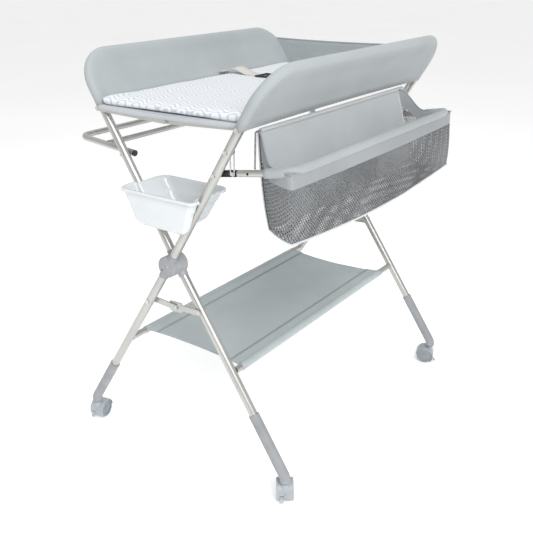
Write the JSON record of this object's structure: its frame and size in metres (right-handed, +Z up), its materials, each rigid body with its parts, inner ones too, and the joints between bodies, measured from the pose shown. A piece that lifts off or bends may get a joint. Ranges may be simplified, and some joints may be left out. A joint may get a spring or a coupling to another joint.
{
  "type": "changing table",
  "caption": "Folding baby changing table on casters: crossed tube frames, padded deck with raised fabric sides, tub, side basket, towel rack and lower shelf.",
  "frame": {"origin": "on the floor, under the middle of the table's bounding box", "axes": "+Z up, +Y along the table from the open end with the tub to the closed end, +X towards the basket side"},
  "size_m": [0.667, 0.8672, 0.991],
  "materials": {
    "tube_silver": "satin metallic lacquer",
    "leg_plastic": "fine moulded texture",
    "zinc_steel": "zinc plated",
    "caster_plastic": "satin moulding",
    "wheel_plastic": "satin moulding",
    "grey_fabric": "coated woven polyester",
    "hem_fabric": "woven polyester binding",
    "pad_vinyl": "soft coated cloth, printed waves",
    "webbing": "woven strap",
    "black_plastic": "moulded",
    "white_piping": "woven sleeve",
    "mesh_fabric": "open mesh",
    "tub_plastic": "gloss moulding"
  },
  "bodies": {
    "frame_b": {"wall_hoop_b": "tube_silver", "upper_leg_b_near": "tube_silver", "upper_leg_b_far": "tube_silver", "lower_leg_b_near": "tube_silver", "lower_leg_b_far": "tube_silver", "foot_b_near": "leg_plastic", "foot_b_far": "leg_plastic", "hub_disc_b_near": "leg_plastic", "hub_disc_b_far": "leg_plastic", "hub_pins": "zinc_steel", "shelf_tube_left": "tube_silver", "leg_rivets_b": "zinc_steel", "wall_fabric_b": "grey_fabric", "changing_pad": "pad_vinyl", "deck_fabric": "hem_fabric", "end_wall_fabric": "grey_fabric", "shelf_fabric": "grey_fabric", "pad_strap_left": "webbing", "pad_strap_right": "webbing", "strap_buckle": "black_plastic"},
    "frame_a": {"wall_hoop_a": "tube_silver", "upper_leg_a_near": "tube_silver", "upper_leg_a_far": "tube_silver", "lower_leg_a_near": "tube_silver", "lower_leg_a_far": "tube_silver", "foot_a_near": "leg_plastic", "foot_a_far": "leg_plastic", "hub_disc_a_near": "leg_plastic", "hub_disc_a_far": "leg_plastic", "shelf_tube_right": "tube_silver", "leg_rivets_a": "zinc_steel", "wall_fabric_a": "grey_fabric"},
    "deck_bar_left": {"deck_bar_left": "tube_silver"},
    "deck_bar_right": {"deck_bar_right": "tube_silver"},
    "brace_left": {"brace_link_left": "tube_silver"},
    "brace_right": {"brace_link_right": "tube_silver"},
    "rack": {"rack_frame": "tube_silver", "rack_inner_rail": "tube_silver", "rack_end_plugs": "black_plastic"},
    "basket": {"basket_frame": "tube_silver", "basket_arm_links": "black_plastic", "basket_bail": "zinc_steel", "basket_rod_sleeve": "white_piping", "basket_bag": "mesh_fabric"},
    "struts": {"basket_struts": "zinc_steel"},
    "tub": {"bath_tub": "tub_plastic"},
    "caster_b_near": {"caster_hood_b_near": "caster_plastic"},
    "wheels_b_near": {"caster_wheels_b_near": "wheel_plastic"},
    "brake_b_near": {"caster_brake_b_near": "caster_plastic"},
    "caster_b_far": {"caster_hood_b_far": "caster_plastic"},
    "wheels_b_far": {"caster_wheels_b_far": "wheel_plastic"},
    "brake_b_far": {"caster_brake_b_far": "caster_plastic"},
    "caster_a_near": {"caster_hood_a_near": "caster_plastic"},
    "wheels_a_near": {"caster_wheels_a_near": "wheel_plastic"},
    "brake_a_near": {"caster_brake_a_near": "caster_plastic"},
    "caster_a_far": {"caster_hood_a_far": "caster_plastic"},
    "wheels_a_far": {"caster_wheels_a_far": "wheel_plastic"},
    "brake_a_far": {"caster_brake_a_far": "caster_plastic"}
  },
  "joints": [
    {"name": "fold", "type": "hinge", "parent": "frame_b", "child": "frame_a", "pos_m": [0, -0.383, 0.5218], "axis": [0, 1, 0], "range_deg": [0, 39], "deforming": ["changing_pad", "deck_fabric", "end_wall_fabric", "shelf_fabric", "pad_strap_left", "pad_strap_right"]},
    {"name": "deck_bar_right_fold", "type": "hinge", "parent": "frame_b", "child": "deck_bar_right", "pos_m": [0.21524, -0.3812, 0.864], "axis": [0, -1, 0], "range_deg": [0, 45]},
    {"name": "deck_bar_left_fold", "type": "hinge", "parent": "frame_a", "child": "deck_bar_left", "pos_m": [-0.21524, -0.385, 0.864], "axis": [0, 1, 0], "range_deg": [0, 45]},
    {"name": "brace_left_fold", "type": "hinge", "parent": "frame_b", "child": "brace_left", "pos_m": [-0.06948, -0.385, 0.417], "axis": [0, -1, 0], "range_deg": [0, 49]},
    {"name": "brace_right_fold", "type": "hinge", "parent": "frame_a", "child": "brace_right", "pos_m": [0.06948, -0.381, 0.417], "axis": [0, 1, 0], "range_deg": [0, 49]},
    {"name": "tub_lift", "type": "slide", "parent": "frame_b", "child": "tub", "axis": [0.2999, -0.7498, 0.5898], "range_m": [0, 0.312]},
    {"name": "rack_fold", "type": "hinge", "parent": "frame_a", "child": "rack", "pos_m": [-0.15046, -0.3512, 0.761], "axis": [0, 1, 0], "range_deg": [0, 42]},
    {"name": "basket_fold", "type": "hinge", "parent": "frame_b", "child": "basket", "pos_m": [0.15046, -0.3792, 0.761], "axis": [0, 1, 0], "range_deg": [0, 45]},
    {"name": "strut_swing", "type": "hinge", "parent": "frame_b", "child": "struts", "pos_m": [0.18442, -0.3846, 0.815], "axis": [0, 1, 0], "range_deg": [0, 20]},
    {"name": "swivel_b_near", "type": "hinge", "parent": "frame_b", "child": "caster_b_near", "pos_m": [-0.30186, -0.397, 0.06], "axis": [0, 0, 1], "continuous": true},
    {"name": "roll_b_near", "type": "hinge", "parent": "caster_b_near", "child": "wheels_b_near", "pos_m": [-0.30478, -0.38331, 0.023], "axis": [-0.9781, -0.2079, 0], "continuous": true},
    {"name": "brake_b_near", "type": "hinge", "parent": "caster_b_near", "child": "brake_b_near", "pos_m": [-0.30742, -0.40932, 0.019], "axis": [0.9781, 0.2079, 0], "range_deg": [0, 10]},
    {"name": "swivel_b_far", "type": "hinge", "parent": "frame_b", "child": "caster_b_far", "pos_m": [-0.30186, 0.383, 0.06], "axis": [0, 0, 1], "continuous": true},
    {"name": "roll_b_far", "type": "hinge", "parent": "caster_b_far", "child": "wheels_b_far", "pos_m": [-0.30478, 0.39669, 0.023], "axis": [-0.9781, -0.2079, 0], "continuous": true},
    {"name": "brake_b_far", "type": "hinge", "parent": "caster_b_far", "child": "brake_b_far", "pos_m": [-0.30742, 0.37067, 0.019], "axis": [0.9781, 0.2079, 0], "range_deg": [0, 10]},
    {"name": "swivel_a_near", "type": "hinge", "parent": "frame_a", "child": "caster_a_near", "pos_m": [0.30186, -0.369, 0.06], "axis": [0, 0, 1], "continuous": true},
    {"name": "roll_a_near", "type": "hinge", "parent": "caster_a_near", "child": "wheels_a_near", "pos_m": [0.29344, -0.35782, 0.023], "axis": [-0.7986, -0.6018, 0], "continuous": true},
    {"name": "brake_a_near", "type": "hinge", "parent": "caster_a_near", "child": "brake_a_near", "pos_m": [0.30203, -0.38252, 0.019], "axis": [0.7986, 0.6018, 0], "range_deg": [0, 10]},
    {"name": "swivel_a_far", "type": "hinge", "parent": "frame_a", "child": "caster_a_far", "pos_m": [0.30186, 0.411, 0.06], "axis": [0, 0, 1], "continuous": true},
    {"name": "roll_a_far", "type": "hinge", "parent": "caster_a_far", "child": "wheels_a_far", "pos_m": [0.28871, 0.40621, 0.023], "axis": [0.342, -0.9397, 0], "continuous": true},
    {"name": "brake_a_far", "type": "hinge", "parent": "caster_a_far", "child": "brake_a_far", "pos_m": [0.31484, 0.40721, 0.019], "axis": [-0.342, 0.9397, 0], "range_deg": [0, 10]}
  ],
  "couplings": [
    {"joint": "deck_bar_right_fold", "follows": "fold", "ratio": 1.115},
    {"joint": "deck_bar_left_fold", "follows": "fold", "ratio": 1.115},
    {"joint": "brace_left_fold", "follows": "fold", "ratio": 1.205},
    {"joint": "brace_right_fold", "follows": "fold", "ratio": 1.205},
    {"joint": "tub_lift", "follows": "fold", "m_per_rad": 0.443}
  ]
}
